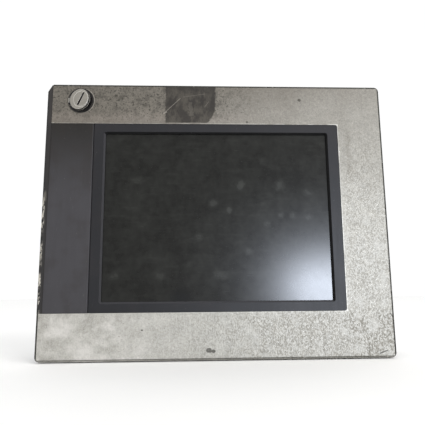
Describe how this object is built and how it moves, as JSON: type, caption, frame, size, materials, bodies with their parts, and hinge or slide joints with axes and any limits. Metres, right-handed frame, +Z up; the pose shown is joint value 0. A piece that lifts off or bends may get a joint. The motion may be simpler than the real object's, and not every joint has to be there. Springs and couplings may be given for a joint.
{
  "type": "hmi touch panel",
  "caption": "Built-in operator panel: aluminium front with dark side insert and touch display, coin-slot service port, sheet-steel housing and swing-out clamps.",
  "frame": {"origin": "centre of the panel in the sealing plane, where the seal meets the front of the cabinet wall", "axes": "+X right as seen from the front, +Y back into the cabinet, +Z up"},
  "size_m": [0.3762, 0.0694, 0.3012],
  "materials": {
    "aluminium_front": "worn, stained",
    "edge_strip": "worn matt",
    "dark_insert": "matt film",
    "dark_bezel": "matt",
    "black_foam": "matt",
    "touch_glass": "anti-glare",
    "black_rubber": "matt",
    "bright_steel": "bright",
    "display_cell": "gloss",
    "white_plastic": "matt",
    "zinc_sheet": "zinc plated",
    "screw_steel": "zinc plated",
    "green_board": "solder mask",
    "brass": "satin",
    "black_plastic": "moulded",
    "heat_sink": "anodised",
    "ribbon": "film",
    "label": "blank film",
    "green_plastic": "moulded",
    "socket_metal": "tinned",
    "card_plastic": "moulded",
    "red_plastic": "moulded",
    "cast_metal": "die cast",
    "black_steel": "blackened",
    "cover_metal": "satin"
  },
  "bodies": {
    "panel": {"front_plate": "aluminium_front", "edge_strip": "edge_strip", "side_insert": "dark_insert", "display_bezel": "dark_bezel", "touch_seal": "black_foam", "touch_glass": "touch_glass", "panel_gasket": "black_rubber", "lcd_frame": "bright_steel", "lcd_cell": "display_cell", "lcd_backlight": "white_plastic", "display_bracket": "zinc_sheet", "bracket_screws": "screw_steel", "inverter_board": "green_board", "main_board": "green_board", "board_standoffs": "brass", "board_screws": "screw_steel", "board_chips": "black_plastic", "heat_sink": "heat_sink", "memory_module": "green_board", "battery_holder": "black_plastic", "battery": "bright_steel", "display_cable": "ribbon", "rear_housing": "zinc_sheet", "housing_screws": "screw_steel", "rear_cover": "zinc_sheet", "cover_screws": "screw_steel", "rating_plate": "label", "power_header": "green_plastic", "power_plug": "green_plastic", "ethernet_sockets": "socket_metal", "usb_sockets": "socket_metal", "serial_socket": "socket_metal", "card_socket": "black_plastic", "earth_stud": "brass", "earth_nut": "screw_steel", "clamp_pins": "bright_steel", "port_ring": "black_plastic", "port_keeper": "bright_steel", "port_hinge_pin": "bright_steel", "port_socket": "black_plastic", "port_nut": "black_plastic"},
    "port_cover": {"port_cover": "cover_metal", "cover_seal": "black_rubber"},
    "port_latch": {"port_latch": "cover_metal", "latch_tongue": "bright_steel"},
    "memory_card": {"memory_card": "card_plastic"},
    "eject_button": {"eject_button": "black_plastic"},
    "reset_button": {"reset_button": "red_plastic"},
    "clamp_arm_1": {"clamp_arm_1": "cast_metal"},
    "clamp_screw_1": {"clamp_screw_1": "black_steel"},
    "clamp_arm_2": {"clamp_arm_2": "cast_metal"},
    "clamp_screw_2": {"clamp_screw_2": "black_steel"},
    "clamp_arm_3": {"clamp_arm_3": "cast_metal"},
    "clamp_screw_3": {"clamp_screw_3": "black_steel"},
    "clamp_arm_4": {"clamp_arm_4": "cast_metal"},
    "clamp_screw_4": {"clamp_screw_4": "black_steel"},
    "clamp_arm_5": {"clamp_arm_5": "cast_metal"},
    "clamp_screw_5": {"clamp_screw_5": "black_steel"},
    "clamp_arm_6": {"clamp_arm_6": "cast_metal"},
    "clamp_screw_6": {"clamp_screw_6": "black_steel"}
  },
  "joints": [
    {"name": "port_cover_swing", "type": "hinge", "parent": "panel", "child": "port_cover", "pos_m": [-0.1637, -0.0076, 0.1308], "axis": [0, 0, -1], "range_deg": [-18, 72]},
    {"name": "port_latch_turn", "type": "hinge", "parent": "port_cover", "child": "port_latch", "pos_m": [-0.14986, -0.01289, 0.1308], "axis": [-0.309, -0.9511, 0], "range_deg": [-48, 28]},
    {"name": "memory_card_slide", "type": "slide", "parent": "panel", "child": "memory_card", "axis": [0, 0, -1], "range_m": [0, 0.006]},
    {"name": "eject_press", "type": "slide", "parent": "panel", "child": "eject_button", "axis": [0, 0, 1], "range_m": [0, 0.006]},
    {"name": "reset_press", "type": "slide", "parent": "panel", "child": "reset_button", "axis": [0, 0, 1], "range_m": [0, 0.001], "stiffness_N_per_m": 300, "springref_m": -0.0002},
    {"name": "clamp_1_swing", "type": "hinge", "parent": "panel", "child": "clamp_arm_1", "pos_m": [0.1735, 0.011, -0.02], "axis": [0, 1, 0], "range_deg": [0, 90]},
    {"name": "clamp_1_screw", "type": "slide", "parent": "clamp_arm_1", "child": "clamp_screw_1", "axis": [0, -1, 0], "range_m": [0, 0.007]},
    {"name": "clamp_2_swing", "type": "hinge", "parent": "panel", "child": "clamp_arm_2", "pos_m": [0.136, 0.011, -0.136], "axis": [0, 1, 0], "range_deg": [0, 90]},
    {"name": "clamp_2_screw", "type": "slide", "parent": "clamp_arm_2", "child": "clamp_screw_2", "axis": [0, -1, 0], "range_m": [0, 0.007]},
    {"name": "clamp_3_swing", "type": "hinge", "parent": "panel", "child": "clamp_arm_3", "pos_m": [-0.132, 0.011, -0.136], "axis": [0, 1, 0], "range_deg": [0, 90]},
    {"name": "clamp_3_screw", "type": "slide", "parent": "clamp_arm_3", "child": "clamp_screw_3", "axis": [0, -1, 0], "range_m": [0, 0.007]},
    {"name": "clamp_4_swing", "type": "hinge", "parent": "panel", "child": "clamp_arm_4", "pos_m": [-0.1735, 0.011, 0.02], "axis": [0, 1, 0], "range_deg": [0, 90]},
    {"name": "clamp_4_screw", "type": "slide", "parent": "clamp_arm_4", "child": "clamp_screw_4", "axis": [0, -1, 0], "range_m": [0, 0.007]},
    {"name": "clamp_5_swing", "type": "hinge", "parent": "panel", "child": "clamp_arm_5", "pos_m": [-0.06, 0.011, 0.136], "axis": [0, 1, 0], "range_deg": [0, 90]},
    {"name": "clamp_5_screw", "type": "slide", "parent": "clamp_arm_5", "child": "clamp_screw_5", "axis": [0, -1, 0], "range_m": [0, 0.007]},
    {"name": "clamp_6_swing", "type": "hinge", "parent": "panel", "child": "clamp_arm_6", "pos_m": [0.118, 0.011, 0.136], "axis": [0, 1, 0], "range_deg": [0, 90]},
    {"name": "clamp_6_screw", "type": "slide", "parent": "clamp_arm_6", "child": "clamp_screw_6", "axis": [0, -1, 0], "range_m": [0, 0.007]}
  ],
  "couplings": [
    {"joint": "eject_press", "follows": "memory_card_slide", "ratio": 1}
  ]
}
